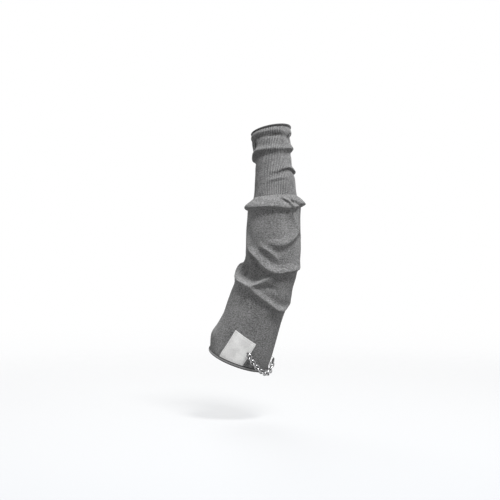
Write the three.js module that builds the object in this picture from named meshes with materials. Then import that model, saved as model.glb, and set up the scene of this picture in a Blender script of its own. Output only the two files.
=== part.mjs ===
// A knit cut resistant sleeve in the form it has when worn on a bent left arm, raised hand end up.
// Millimetres, +Z up, +X to the right, the front faces -Y. The origin is the middle of the upper arm opening.
import * as THREE from "three";

// Named sizes. Lengths run along the arm, from the hem to the wrist rim.
const sleeve = {
  bodyLength: 309, // plain knit, from the hem to where the ribs start
  cuffLength: 125, // ribbed cuff, pushed together as worn
  upperArm: 195, // hem to the corner of the elbow
  elbowBend: 19.5, // degrees
  elbowRadius: 150,
  bow: 18, // how far the elbow stands in front of the hem
  armWidth: 112,
  armDepth: 100,
  wristWidth: 76,
  wristDepth: 64,
  wall: 1.6,
  bodyFold: 8, // height of a full fold of the body
  bodyReach: 7.5, // how far such a fold spreads to each side
  cuffFold: 4,
  cuffReach: 4.6,
};
const gap = 0.3; // clearance between two pieces that touch

// How finely the tubes are divided. Facets at the front are smaller than at the back by this share.
const facets = { bodySides: 40, cuffSides: 28, frontShare: 0.3 };
// Spans of rings: up to this share of the piece's length the rings lie this far apart, as a share of its width.
const bodyRings = [
  { upTo: 0.34, step: 0.12 },
  { upTo: 0.82, step: 0.057 },
  { upTo: 0.9, step: 0.07 },
  { upTo: 1, step: 0.036 },
];
const cuffRings = [{ upTo: 1, step: 0.086 }];

const edging = { grip: 4.5, thick: 0.9 }; // overlocked band that wraps the cut edge at both ends

const label = {
  width: 45,
  height: 56, // its long side, the other one ends sooner in the slanted hem
  lean: 15, // degrees
  turn: -0.103, // place of its lower left corner
  thick: 1,
  columns: 7,
  rows: 6,
};

const chain = {
  links: 15,
  length: 12.2, // of one link, outside
  width: 9.8,
  wire: 2.4,
  play: 0.4, // how loosely each link hangs in the next
  rollFlat: 14, // degrees, how far every other link leans out of the cloth's plane
  rollUpright: 66, // and how far the links between them stand up from it the other way
  sections: 10,
  wireSides: 5,
};

// The chain's way over the cloth. out is its height above the cloth, as a share of the link's width.
const chainRoute = [
  { turn: 0.034, height: 0.092, out: 0.53 },
  { turn: 0.055, height: 0.066, out: 0.53 },
  { turn: 0.092, height: 0.036, out: 0.56 },
  { turn: 0.138, height: 0.008, out: 0.66 },
  { turn: 0.186, height: -0.006, out: 0.7 },
  { turn: 0.226, height: 0.008, out: 0.66 },
  { turn: 0.252, height: 0.04, out: 0.56 },
  { turn: 0.266, height: 0.084, out: 0.53 },
  { turn: 0.276, height: 0.13, out: 0.53 },
];

// Sections. height is a share of the piece's length, wide, shift and lean are shares of its width, deep of its depth.
// shift moves the section to the right, lean lifts its right side and drops its left side.
const bodySections = [
  { height: 0, wide: 1.005, deep: 1.02, shift: 0.005, lean: 0 },
  { height: 0.05, wide: 1.02, deep: 1.02, shift: 0, lean: 0 },
  { height: 0.1, wide: 1.01, deep: 1.02, shift: 0, lean: 0 },
  { height: 0.2, wide: 0.99, deep: 1, shift: -0.01, lean: 0 },
  { height: 0.3, wide: 0.95, deep: 0.98, shift: -0.01, lean: 0 },
  { height: 0.4, wide: 0.94, deep: 0.97, shift: -0.01, lean: 0 },
  { height: 0.5, wide: 0.92, deep: 0.95, shift: -0.01, lean: 0 },
  { height: 0.6, wide: 0.9, deep: 0.93, shift: 0, lean: 0 },
  { height: 0.7, wide: 0.9, deep: 0.93, shift: 0, lean: 0 },
  { height: 0.8, wide: 0.89, deep: 0.92, shift: 0, lean: 0 },
  { height: 0.9, wide: 0.87, deep: 0.91, shift: 0.01, lean: 0.01 },
  { height: 0.937, wide: 0.89, deep: 0.98, shift: 0.015, lean: 0.02 },
  { height: 0.961, wide: 0.94, deep: 0.91, shift: 0.02, lean: 0.025 },
  { height: 0.982, wide: 0.83, deep: 0.8, shift: 0.03, lean: 0.03 },
];
const cuffSections = [
  { height: 0, wide: 1.05, deep: 1.08, shift: 0.045, lean: 0.035 },
  { height: 0.25, wide: 0.965, deep: 1, shift: 0.04, lean: 0.03 },
  { height: 0.45, wide: 0.88, deep: 0.93, shift: 0.01, lean: 0.03 },
  { height: 0.62, wide: 0.89, deep: 0.93, shift: -0.01, lean: 0.03 },
  { height: 0.85, wide: 0.93, deep: 0.96, shift: -0.05, lean: 0.06 },
  { height: 1, wide: 0.94, deep: 0.98, shift: -0.05, lean: 0.09 },
];

// Folds. Each one runs through points of [turn, height, strength]: turn 0 is the middle of the front, 0.25 the right
// side and 0.5 the back, height is a share of the piece's length, and strength a share of the fold's rise.
// rise is a share of the piece's full fold, up and down are its spread above and below the crest as shares of the
// full reach, dip is the crease below it as a share of the rise, and sag is how far the crest hangs down over it.
const bodyFolds = [
  {
    name: "collar roll", rise: 0.5, up: 0.75, down: 0.5, dip: 0.2, sag: 0.8,
    path: [[-0.5, 0.935, 1], [-0.25, 0.95, 0.8], [-0.15, 0.943, 1], [-0.02, 0.938, 1], [0.083, 0.926, 0.9],
      [0.15, 0.94, 0.9], [0.2, 0.96, 1.2], [0.3, 0.96, 1.1], [0.4, 0.94, 1], [0.5, 0.935, 1]],
  },
  {
    name: "smile", rise: 0.75, up: 0.9, down: 0.85, dip: 0.15, sag: 0.3,
    path: [[0.2, 0.81, 0], [0.126, 0.765, 0.9], [0.08, 0.734, 1], [0.03, 0.719, 0.9], [-0.04, 0.732, 0]],
  },
  {
    name: "major", rise: 0.65, up: 0.9, down: 0.7, dip: 0.4, sag: 0.5,
    path: [[-0.21, 0.82, 0], [-0.187, 0.75, 0.6], [-0.156, 0.69, 0.9], [-0.11, 0.65, 1], [-0.034, 0.589, 1.1],
      [0.03, 0.575, 1], [0.1, 0.595, 0.9], [0.17, 0.61, 0.7], [0.26, 0.625, 0.35], [0.42, 0.66, 0]],
  },
  {
    name: "inner", rise: 0.35, up: 0.7, down: 0.7, dip: 0.1, sag: 0.1,
    path: [[-0.1, 0.722, 0], [-0.049, 0.689, 1], [-0.005, 0.658, 0.9], [0.045, 0.622, 0]],
  },
  {
    name: "elbow flap", rise: 0.65, up: 0.42, down: 1.2, dip: 0.1, sag: -0.1,
    path: [[-0.46, 0.62, 0], [-0.37, 0.57, 1], [-0.31, 0.54, 1.5], [-0.27, 0.505, 1.3], [-0.235, 0.475, 1],
      [-0.19, 0.46, 1], [-0.126, 0.448, 0.9], [-0.07, 0.452, 0.8], [-0.02, 0.492, 0.6], [0.03, 0.545, 0.3],
      [0.06, 0.575, 0]],
  },
  {
    name: "flap recess", rise: -1, up: 1.6, down: 0.6, dip: 0, sag: 0,
    path: [[-0.262, 0.59, 0.4], [-0.235, 0.545, 1.1], [-0.2, 0.512, 1.2], [-0.16, 0.492, 1],
      [-0.126, 0.486, 1], [-0.07, 0.49, 1], [-0.03, 0.522, 0.7], [0, 0.56, 0]],
  },
  {
    name: "lower", rise: 0.4, up: 0.6, down: 0.7, dip: 0.22, sag: 0.3,
    path: [[-0.09, 0.452, 0.3], [-0.038, 0.432, 0.8], [0, 0.417, 1], [0.065, 0.394, 1], [0.12, 0.378, 1],
      [0.174, 0.38, 0.75], [0.23, 0.41, 0.6], [0.31, 0.44, 0.5], [0.4, 0.46, 0]],
  },
  {
    name: "crease over lower", rise: -0.35, up: 0.6, down: 0.6, dip: 0, sag: 0,
    path: [[-0.06, 0.445, 0], [-0.017, 0.463, 1], [0.04, 0.478, 1], [0.1, 0.466, 0]],
  },
  {
    name: "soft", rise: 0.25, up: 0.9, down: 0.8, dip: 0, sag: 0,
    path: [[0.02, 0.318, 0], [0.055, 0.342, 1], [0.1, 0.36, 0]],
  },
  {
    name: "back smile", rise: 0.6, up: 1.2, down: 0.9, dip: 0.2, sag: 0.3,
    path: [[0.4, 0.8, 0], [0.47, 0.755, 1], [0.54, 0.745, 0.9], [0.62, 0.79, 0]],
  },
  {
    name: "back elbow", rise: 0.75, up: 0.9, down: 0.7, dip: 0.25, sag: 0.3,
    path: [[-0.3, 0.44, 0], [-0.38, 0.42, 0.9], [-0.47, 0.43, 1], [-0.56, 0.47, 0.8], [-0.63, 0.52, 0]],
  },
  {
    name: "back lower", rise: 0.4, up: 1.1, down: 1, dip: 0.2, sag: 0.1,
    path: [[0.34, 0.3, 0], [0.45, 0.265, 1], [0.56, 0.3, 0]],
  },
  {
    name: "back crossing", rise: 0.5, up: 0.9, down: 0.8, dip: 0.2, sag: 0.3,
    path: [[0.3, 0.61, 0], [0.38, 0.63, 0.9], [0.46, 0.6, 1], [0.54, 0.59, 0.8], [0.62, 0.62, 0]],
  },
];
const cuffFolds = [
  {
    name: "rim roll", rise: 0.75, up: 1, down: 0.8, dip: 0.45, sag: 0.4,
    path: [[-0.5, 0.92, 0.8], [-0.25, 0.92, 0.4], [-0.12, 0.94, 1], [0, 0.94, 1], [0.08, 0.93, 0.9],
      [0.14, 0.92, 0.7], [0.22, 0.915, 0.7], [0.36, 0.92, 1], [0.5, 0.92, 1]],
  },
  {
    name: "ring", rise: 1.15, up: 0.9, down: 1.3, dip: 0.3, sag: 0.6,
    path: [[-0.5, 0.65, 0.8], [-0.37, 0.61, 0.9], [-0.28, 0.6, 1.05], [-0.215, 0.65, 0.9],
      [-0.161, 0.685, 0.85], [-0.068, 0.682, 0.85], [0.004, 0.676, 0.85], [0.093, 0.682, 0.9], [0.2, 0.71, 1],
      [0.28, 0.72, 1], [0.39, 0.69, 0.9], [0.5, 0.65, 0.8]],
  },
  {
    name: "half ring", rise: 0.9, up: 1, down: 0.7, dip: 0.4, sag: 0.45,
    path: [[-0.06, 0.335, 0], [0.009, 0.343, 0.5], [0.081, 0.389, 0.9], [0.151, 0.407, 1], [0.237, 0.37, 1.2],
      [0.33, 0.36, 0.9], [0.46, 0.39, 0]],
  },
  {
    name: "short ring", rise: 0.4, up: 0.9, down: 0.6, dip: 0.4, sag: 0.2,
    path: [[-0.09, 0.2, 0], [-0.007, 0.225, 1], [0.06, 0.24, 0.8], [0.13, 0.25, 0]],
  },
  {
    name: "back ring", rise: 0.5, up: 1.1, down: 1, dip: 0.3, sag: 0.2,
    path: [[0.42, 0.47, 0], [0.52, 0.5, 1], [0.62, 0.49, 0.9], [0.72, 0.46, 0]],
  },
];

// Round swellings and hollows. rise is a share of the full fold, across and along are shares of the full reach.
const bodyPuffs = [
  { name: "hem left", turn: -0.24, height: 0.1, rise: 0.75, across: 3, along: 2.1 },
  { name: "above hem left", turn: -0.25, height: 0.235, rise: -0.25, across: 3, along: 2 },
  { name: "elbow right", turn: 0.25, height: 0.44, rise: 0.45, across: 3, along: 2.2 },
  { name: "flap pocket", turn: -0.172, height: 0.538, rise: -1.4, across: 1.1, along: 1.7 },
  { name: "behind the flap", turn: -0.09, height: 0.53, rise: -0.4, across: 2.2, along: 1.8 },
  { name: "right hollow", turn: 0.083, height: 0.83, rise: -0.3, across: 1.4, along: 3.4 },
  { name: "collar pocket", turn: 0.14, height: 0.97, rise: -0.4, across: 2.2, along: 0.7 },
];
const cuffPuffs = [
  { name: "right triangle", turn: 0.18, height: 0.83, rise: -1.1, across: 1, along: 1.2 },
  { name: "rim shade", turn: 0.02, height: 0.85, rise: -0.5, across: 2.8, along: 0.8 },
  { name: "left hollow", turn: -0.182, height: 0.805, rise: -2.2, across: 1.15, along: 1.9 },
];

const colors = { body: 0x6a6a6a, cuff: 0x858585, edging: 0x2b2b2b, label: 0xdcdcdc, chain: 0xb9b9b9 };

const body = { start: 0, length: sleeve.bodyLength, fold: sleeve.bodyFold, reach: sleeve.bodyReach };
const cuff = { start: sleeve.bodyLength, length: sleeve.cuffLength, fold: sleeve.cuffFold, reach: sleeve.cuffReach };
body.girth = (Math.PI * (sleeve.armWidth + sleeve.armDepth)) / 2;
cuff.girth = (Math.PI * (sleeve.wristWidth + sleeve.wristDepth)) / 2;
const sleeveLength = sleeve.bodyLength + sleeve.cuffLength;

// The middle line of the arm, with the directions along it, to the right and to the front.
function armAt(along) {
  const bend = THREE.MathUtils.degToRad(sleeve.elbowBend);
  const radius = sleeve.elbowRadius;
  const bendStart = sleeve.upperArm - radius * Math.tan(bend / 2);
  const bendEnd = bendStart + radius * bend;
  const tilt = THREE.MathUtils.clamp(bend - (along - bendStart) / radius, 0, bend);
  const below = Math.min(along, bendStart);
  const above = Math.max(along - bendEnd, 0);
  const fromElbow = (along - sleeve.upperArm) / sleeve.upperArm;
  const middle = new THREE.Vector3(
    below * Math.sin(bend) + radius * (Math.cos(tilt) - Math.cos(bend)),
    sleeve.bow * (fromElbow ** 2 - 1),
    below * Math.cos(bend) + radius * (Math.sin(bend) - Math.sin(tilt)) + above,
  );
  const up = new THREE.Vector3(Math.sin(tilt), (2 * sleeve.bow * fromElbow) / sleeve.upperArm, Math.cos(tilt));
  const right = new THREE.Vector3(Math.cos(tilt), 0, -Math.sin(tilt));
  const front = new THREE.Vector3().crossVectors(right, up.normalize());
  return { middle, up, right, front };
}

// All sections in millimetres, in one list from the hem to the rim.
function measuredSections() {
  const measure = (rows, piece, width, depth) =>
    rows.map((row) => ({
      along: piece.start + row.height * piece.length,
      wide: (row.wide * width) / 2,
      deep: (row.deep * depth) / 2,
      shift: row.shift * width,
      lean: row.lean * width,
    }));
  return [
    ...measure(bodySections, body, sleeve.armWidth, sleeve.armDepth),
    ...measure(cuffSections, cuff, sleeve.wristWidth, sleeve.wristDepth),
  ];
}

const sections = measuredSections();

function sectionSlope(index, column) {
  const before = sections[Math.max(index - 1, 0)];
  const after = sections[Math.min(index + 1, sections.length - 1)];
  return (after[column] - before[column]) / (after.along - before.along);
}

function sectionAt(along) {
  const last = sections.length - 2;
  let index = sections.findIndex((row) => row.along > along) - 1;
  if (index < -1) index = last;
  index = THREE.MathUtils.clamp(index, 0, last);
  const [from, to] = [sections[index], sections[index + 1]];
  const step = to.along - from.along;
  const t = THREE.MathUtils.clamp((along - from.along) / step, 0, 1);
  const blend = (column) =>
    (2 * t ** 3 - 3 * t ** 2 + 1) * from[column] +
    (t ** 3 - 2 * t ** 2 + t) * step * sectionSlope(index, column) +
    (3 * t ** 2 - 2 * t ** 3) * to[column] +
    (t ** 3 - t ** 2) * step * sectionSlope(index + 1, column);
  return { wide: blend("wide"), deep: blend("deep"), shift: blend("shift"), lean: blend("lean") };
}

// A smooth line through points, which are lists of numbers.
function smoothLine(points, perSpan) {
  const line = [];
  const last = points.length - 1;
  for (let i = 0; i < last; i++) {
    const around = [points[Math.max(i - 1, 0)], points[i], points[i + 1], points[Math.min(i + 2, last)]];
    for (let k = 0; k < (i === last - 1 ? perSpan + 1 : perSpan); k++) {
      const t = k / perSpan;
      const at = (column) => {
        const [a, b, c, d] = around.map((point) => point[column]);
        return 0.5 * (2 * b + (c - a) * t + (2 * a - 5 * b + 4 * c - d) * t ** 2 + (3 * b - a - 3 * c + d) * t ** 3);
      };
      line.push(points[0].map((_, column) => at(column)));
    }
  }
  return line;
}

// A fold's line, in turns, millimetres along and strength.
function traceFold(fold, piece) {
  const points = fold.path.map(([turn, height, strength]) => [turn, piece.start + height * piece.length, strength]);
  const line = smoothLine(points, 5).map(([turn, along, strength]) => ({ turn, along, strength: Math.max(strength, 0) }));
  return { ...fold, piece, line };
}

const folds = [
  ...bodyFolds.map((fold) => traceFold(fold, body)),
  ...cuffFolds.map((fold) => traceFold(fold, cuff)),
];
const puffs = [
  ...bodyPuffs.map((puff) => ({ ...puff, piece: body })),
  ...cuffPuffs.map((puff) => ({ ...puff, piece: cuff })),
];

const wrapTurn = (turn) => turn - Math.round(turn);

// The nearest place on a fold's line: how far off it lies, on which side, and how strong the fold is there.
function nearestOnFold(fold, turn, along) {
  let best = { distance: Infinity, side: 1, strength: 0 };
  for (let i = 0; i < fold.line.length - 1; i++) {
    const [from, to] = [fold.line[i], fold.line[i + 1]];
    const across = (to.turn - from.turn) * fold.piece.girth;
    const rise = to.along - from.along;
    const dx = wrapTurn(turn - from.turn) * fold.piece.girth;
    const dy = along - from.along;
    const t = THREE.MathUtils.clamp((dx * across + dy * rise) / (across ** 2 + rise ** 2), 0, 1);
    const distance = Math.hypot(dx - t * across, dy - t * rise);
    if (distance < best.distance) {
      const leftToRight = Math.sign(fold.line.at(-1).turn - fold.line[0].turn);
      const side = leftToRight * (across * dy - rise * dx) >= 0 ? 1 : -1;
      best = { distance, side, strength: from.strength + t * (to.strength - from.strength) };
    }
  }
  return best;
}

// How far the folds lift the cloth off its plain form, and how far they pull it down.
function reliefAt(turn, along) {
  let lift = 0;
  let drop = 0;
  for (const fold of folds) {
    const { distance, side, strength } = nearestOnFold(fold, turn, along);
    const spread = fold.piece.reach * (side > 0 ? fold.up : fold.down);
    const height = fold.piece.fold * fold.rise * strength;
    const bump = Math.exp(-((distance / spread) ** 2));
    const crease = side > 0 ? 0 : Math.exp(-((distance / spread - 1.9) ** 2)) - Math.exp(-(1.9 ** 2)) * bump;
    lift += height * (bump - fold.dip * crease);
    drop += height * fold.sag * bump;
  }
  for (const puff of puffs) {
    const across = (wrapTurn(turn - puff.turn) * puff.piece.girth) / (puff.piece.reach * puff.across);
    const rise = (along - puff.piece.start - puff.height * puff.piece.length) / (puff.piece.reach * puff.along);
    lift += puff.piece.fold * puff.rise * Math.exp(-(across ** 2) - rise ** 2);
  }
  return { lift, drop };
}

// A point of the outer face.
function facePoint(turn, along) {
  const { middle, up, right, front } = armAt(along);
  const { wide, deep, shift, lean } = sectionAt(along);
  const { lift, drop } = reliefAt(turn, along);
  const sin = Math.sin(2 * Math.PI * turn);
  const cos = Math.cos(2 * Math.PI * turn);
  const off = new THREE.Vector3().addScaledVector(right, sin / wide).addScaledVector(front, cos / deep).normalize();
  return middle
    .addScaledVector(right, wide * sin + shift)
    .addScaledVector(front, deep * cos)
    .addScaledVector(up, lean * sin - drop)
    .addScaledVector(off, lift);
}

function faceNormal(turn, along) {
  const step = 1;
  const turnStep = step / body.girth;
  const around = facePoint(turn + turnStep, along).sub(facePoint(turn - turnStep, along));
  const upward = facePoint(turn, along + step).sub(facePoint(turn, along - step));
  return around.cross(upward).normalize();
}

// A point that lies out above the outer face, or below it where out is negative.
function clothPoint(turn, along, out) {
  return facePoint(turn, along).addScaledVector(faceNormal(turn, along), out);
}

// Two triangles for a four-cornered facet, cut along its shorter diagonal, which follows the folds.
function cutFacet(points, [a, b, c, d]) {
  const short = points[a].distanceTo(points[c]) <= points[b].distanceTo(points[d]);
  return short ? [a, b, c, a, c, d] : [a, b, d, b, c, d];
}

// A closed mesh from a grid of points: rows of the same length, joined row to row, each row closed on itself.
function ringsToGeometry(rings) {
  const count = rings[0].length;
  const points = rings.flat();
  const positions = points.flatMap((point) => point.toArray());
  const index = [];
  rings.forEach((ring, r) => {
    const next = (r + 1) % rings.length;
    for (let i = 0; i < count; i++) {
      const j = (i + 1) % count;
      index.push(...cutFacet(points, [r * count + i, r * count + j, next * count + j, next * count + i]));
    }
  });
  const geometry = new THREE.BufferGeometry();
  geometry.setAttribute("position", new THREE.Float32BufferAttribute(positions, 3));
  geometry.setIndex(index);
  geometry.computeVertexNormals();
  return geometry;
}

// The turns of one ring's points, closer together at the front.
function turnsOf(sides) {
  const even = Array.from({ length: sides }, (_, i) => i / sides - 0.5);
  return even.map((turn) => turn - (facets.frontShare * Math.sin(2 * Math.PI * turn)) / (2 * Math.PI));
}

// The heights of the rings between two places of a piece, spaced as its table says.
function ringHeights(table, piece, width, from, to) {
  const heights = [from];
  let spanFrom = from;
  for (const { upTo, step } of table) {
    const spanTo = upTo < 1 ? piece.start + upTo * piece.length : to;
    const count = Math.max(Math.round((spanTo - spanFrom) / (step * width)), 1);
    for (let i = 1; i <= count; i++) heights.push(spanFrom + ((spanTo - spanFrom) * i) / count);
    spanFrom = spanTo;
  }
  return heights;
}

// A knit tube with a wall through rings at these heights.
function tubeGeometry(heights, sides) {
  const ring = (along, out) => turnsOf(sides).map((turn) => clothPoint(turn, along, out));
  const outside = heights.map((along) => ring(along, 0));
  const inside = heights.map((along) => ring(along, -sleeve.wall)).reverse();
  return ringsToGeometry([...outside, ...inside]);
}

// The band that wraps a cut edge. beyond is +1 where the edge looks to the wrist and -1 where it looks to the hem.
function edgingGeometry(along, beyond, sides) {
  const outer = gap + edging.thick;
  const inner = sleeve.wall + gap;
  const profile = [
    [outer, -edging.grip],
    [outer, outer],
    [-inner - edging.thick, outer],
    [-inner - edging.thick, -edging.grip],
    [-inner, -edging.grip],
    [-inner, gap],
    [gap, gap],
    [gap, -edging.grip],
  ];
  const turns = turnsOf(sides);
  const rings = profile.map(([out, over]) =>
    turns.map((turn) => {
      const edge = clothPoint(turn, along - beyond * Math.max(-over, 0), out);
      return edge.addScaledVector(armAt(along).up, beyond * Math.max(over, 0));
    }),
  );
  return ringsToGeometry(beyond > 0 ? rings : rings.reverse());
}

function labelGeometry() {
  const lean = THREE.MathUtils.degToRad(label.lean);
  const foot = edging.grip + 2 * gap;
  const girth = Math.PI * sleeve.armWidth * bodySections[0].wide;
  const pointAt = (a, b, out) => {
    const length = label.height - a * label.width * Math.tan(lean);
    const x = (a * label.width) / Math.cos(lean) + b * length * Math.sin(lean);
    return clothPoint(label.turn + x / girth, foot + b * length * Math.cos(lean), out);
  };
  const rows = [];
  for (let r = 0; r <= label.rows; r++) {
    const shares = Array.from({ length: label.columns + 1 }, (_, c) => c / label.columns);
    const outside = shares.map((a) => pointAt(a, r / label.rows, gap + label.thick));
    const inside = shares.map((a) => pointAt(a, r / label.rows, gap)).reverse();
    rows.push([...outside, ...inside]);
  }
  return cappedGeometry(rows);
}

// A closed mesh from rows whose first and last are flat strips: each strip is closed by a row of quads.
function cappedGeometry(rows) {
  const geometry = ringsToGeometry(rows);
  const count = rows[0].length;
  const index = [...geometry.index.array].slice(0, (rows.length - 1) * count * 6);
  const close = (start, flip) => {
    for (let i = 0; i < count / 2 - 1; i++) {
      const corners = [start + i, start + i + 1, start + count - 2 - i, start + count - 1 - i];
      const [a, b, c, d] = flip ? corners.reverse() : corners;
      index.push(a, b, c, a, c, d);
    }
  };
  close(0, true);
  close((rows.length - 1) * count, false);
  geometry.setIndex(index);
  geometry.computeVertexNormals();
  return geometry;
}

// A chain link: round wire along two straight sides and two half circles.
function linkGeometry(place) {
  const radius = (chain.width - chain.wire) / 2;
  const straight = (chain.length - chain.width) / 2;
  const side = place.side.clone().applyAxisAngle(place.ahead, THREE.MathUtils.degToRad(place.roll));
  const across = new THREE.Vector3().crossVectors(side, place.ahead);
  const rings = [];
  for (let i = 0; i < chain.sections; i++) {
    const angle = (2 * Math.PI * (i + 0.5)) / chain.sections;
    const away = place.ahead.clone().multiplyScalar(Math.cos(angle)).addScaledVector(side, Math.sin(angle));
    const center = place.middle.clone().addScaledVector(away, radius);
    center.addScaledVector(place.ahead, Math.sign(Math.cos(angle)) * straight);
    const ring = [];
    for (let k = 0; k < chain.wireSides; k++) {
      const around = (2 * Math.PI * k) / chain.wireSides;
      const point = center.clone().addScaledVector(away, (Math.cos(around) * chain.wire) / 2);
      ring.push(point.addScaledVector(across, (Math.sin(around) * chain.wire) / 2));
    }
    rings.push(ring);
  }
  return ringsToGeometry(rings);
}

// The chain's way in small steps: each point with its place on the cloth and the length of chain up to it.
function traceRoute() {
  const steps = [];
  let length = 0;
  for (const [turn, height, out] of smoothLine(chainRoute.map((row) => [row.turn, row.height, row.out]), 20)) {
    const along = height * body.length;
    const point = clothPoint(turn, along, out * chain.width);
    if (steps.length > 0) length += point.distanceTo(steps.at(-1).point);
    steps.push({ turn, along, point, length });
  }
  return steps;
}

function routeAt(steps, length) {
  const next = THREE.MathUtils.clamp(steps.findIndex((step) => step.length > length), 1, steps.length - 1);
  const [from, to] = [steps[next - 1], steps[next]];
  const t = (length - from.length) / (to.length - from.length);
  return { turn: to.turn, along: to.along, point: from.point.clone().lerp(to.point, t) };
}

// Places the links one after the other along the route, each one held by the one before.
function chainPlaces() {
  const steps = traceRoute();
  const half = (chain.length - chain.wire) / 2;
  const pitch = 2 * half - chain.wire - chain.play;
  return Array.from({ length: chain.links }, (_, i) => {
    const from = routeAt(steps, i * pitch).point;
    const to = routeAt(steps, i * pitch + 2 * half).point;
    const { turn, along } = routeAt(steps, i * pitch + half);
    const middle = from.clone().lerp(to, 0.5);
    const ahead = to.sub(from).normalize();
    const side = new THREE.Vector3().crossVectors(faceNormal(turn, along), ahead).normalize();
    return { middle, ahead, side, roll: i % 2 === 0 ? chain.rollFlat : -chain.rollUpright };
  });
}

function cloth(color) {
  return new THREE.MeshStandardMaterial({ color, roughness: 0.95, metalness: 0 });
}

function addMesh(group, name, geometry, material) {
  const piece = new THREE.Mesh(geometry, material);
  piece.name = name;
  group.add(piece);
}

// A ring lies where the edging ends, so that the edging's facets stay parallel to the cloth.
const seam = sleeve.bodyLength;
const bodyHeights = [0, ...ringHeights(bodyRings, body, sleeve.armWidth, edging.grip, seam - gap / 2)];
const cuffTop = sleeveLength - edging.grip;
const cuffHeights = [...ringHeights(cuffRings, cuff, sleeve.wristWidth, seam + gap / 2, cuffTop), sleeveLength];

const part = new THREE.Group();
addMesh(part, "sleeve_body", tubeGeometry(bodyHeights, facets.bodySides), cloth(colors.body));
addMesh(part, "cuff_rib", tubeGeometry(cuffHeights, facets.cuffSides), cloth(colors.cuff));
addMesh(part, "hem_edge", edgingGeometry(0, -1, facets.bodySides), cloth(colors.edging));
addMesh(part, "cuff_edge", edgingGeometry(sleeveLength, 1, facets.cuffSides), cloth(colors.edging));
addMesh(part, "label", labelGeometry(), cloth(colors.label));
chainPlaces().forEach((place, i) => {
  const metal = new THREE.MeshStandardMaterial({ color: colors.chain, roughness: 0.3, metalness: 1 });
  addMesh(part, `chain_link_${i + 1}`, linkGeometry(place), metal);
});

export default part;
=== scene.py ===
import math

import bpy
import numpy as np
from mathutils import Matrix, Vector


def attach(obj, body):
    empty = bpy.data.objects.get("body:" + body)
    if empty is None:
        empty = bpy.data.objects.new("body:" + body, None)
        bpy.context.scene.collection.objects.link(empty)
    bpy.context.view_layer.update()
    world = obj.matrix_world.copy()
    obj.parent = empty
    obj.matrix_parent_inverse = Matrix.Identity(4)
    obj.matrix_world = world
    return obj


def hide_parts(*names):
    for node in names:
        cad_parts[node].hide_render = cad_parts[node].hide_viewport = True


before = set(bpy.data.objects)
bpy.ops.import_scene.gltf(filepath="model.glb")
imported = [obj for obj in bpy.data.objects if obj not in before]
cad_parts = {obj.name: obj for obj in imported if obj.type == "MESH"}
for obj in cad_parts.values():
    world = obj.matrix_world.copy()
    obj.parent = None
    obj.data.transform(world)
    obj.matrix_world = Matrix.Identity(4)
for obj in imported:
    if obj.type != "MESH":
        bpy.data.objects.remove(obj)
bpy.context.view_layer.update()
bpy.ops.object.select_all(action="DESELECT")
sceneNow = bpy.context.scene
mm = 0.001


def say(stage):
    print("stage:", stage)


# camera, level with the middle of the sleeve and square to its front
view = dict(
    distance=2.0, # metres in front of the origin
    aimX=22.2, # mm
    aimZ=201.6,
    frameWidth=925, # mm seen across the picture at the origin
    sensor=36,
)
bpy.ops.object.camera_add(
    location=(view["aimX"] * mm, -view["distance"], view["aimZ"] * mm),
    rotation=(math.pi / 2, 0, 0),
)
camera = bpy.context.object
camera.name = "camera"
camera.data.sensor_width = view["sensor"]
camera.data.lens = view["sensor"] * view["distance"] / (view["frameWidth"] * mm)
camera.data.clip_end = 50
sceneNow.camera = camera

# soft light, most of it from above and in front
lights = [
    dict(name="overheadLight", at=(0.62, -0.88, 2.1), aim=(0.05, 0, 0.2), size=0.6, watts=72),
    dict(name="rightLight", at=(1.8, -1.0, 0.9), aim=(0.05, 0, 0.2), size=0.9, watts=6),
    dict(name="leftLight", at=(-1.9, -1.2, 0.5), aim=(0.05, 0, 0.2), size=1.2, watts=10),
    dict(name="backLight", at=(-0.4, 1.7, 1.7), aim=(0.05, 0, 0.1), size=1.2, watts=26),
]
for lamp in lights:
    bpy.ops.object.light_add(type="AREA", location=lamp["at"])
    light = bpy.context.object
    light.name = lamp["name"]
    light.data.size = lamp["size"]
    light.data.energy = lamp["watts"]
    light.rotation_euler = (Vector(lamp["aim"]) - light.location).to_track_quat("-Z", "Y").to_euler()

studio = dict(
    ambient=0.38,
    lowTone=(0.88, 0.9, 0.93), # backdrop at the foot of the picture
    lowEnd=0.28, # from here the backdrop turns white, 0 straight down and 1 straight up
    whiteFrom=0.43,
    floorDrop=110, # mm below the middle of the arm opening
    floorSize=6, # metres
    floorTone=0.6,
    floorClear=0.72, # share of the backdrop that shines through it
    floorFadeFrom=0.5, # metres from the middle, where the floor starts to melt into the backdrop
    floorFadeTo=1.6,
)
world = bpy.data.worlds.new("studio")
sceneNow.world = world
world.use_nodes = True
worldNodes = world.node_tree.nodes
worldLinks = world.node_tree.links
worldNodes.clear()
direction = worldNodes.new("ShaderNodeTexCoord")
height = worldNodes.new("ShaderNodeSeparateXYZ")
sky = worldNodes.new("ShaderNodeValToRGB")
sky.color_ramp.elements[0].position = studio["lowEnd"]
sky.color_ramp.elements[0].color = (*studio["lowTone"], 1)
sky.color_ramp.elements[1].position = studio["whiteFrom"]
sky.color_ramp.elements[1].color = (1, 1, 1, 1)
raised = worldNodes.new("ShaderNodeMath")
raised.operation = "ADD"
raised.inputs[1].default_value = 0.5 # level with the horizon
seen = worldNodes.new("ShaderNodeBackground")
lit = worldNodes.new("ShaderNodeBackground")
lit.inputs["Color"].default_value = (1, 1, 1, 1)
lit.inputs["Strength"].default_value = studio["ambient"]
rayKind = worldNodes.new("ShaderNodeLightPath")
either = worldNodes.new("ShaderNodeMixShader")
worldOut = worldNodes.new("ShaderNodeOutputWorld")
worldLinks.new(direction.outputs["Generated"], height.inputs[0])
worldLinks.new(height.outputs["Z"], raised.inputs[0])
worldLinks.new(raised.outputs[0], sky.inputs[0])
worldLinks.new(sky.outputs[0], seen.inputs["Color"])
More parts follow.
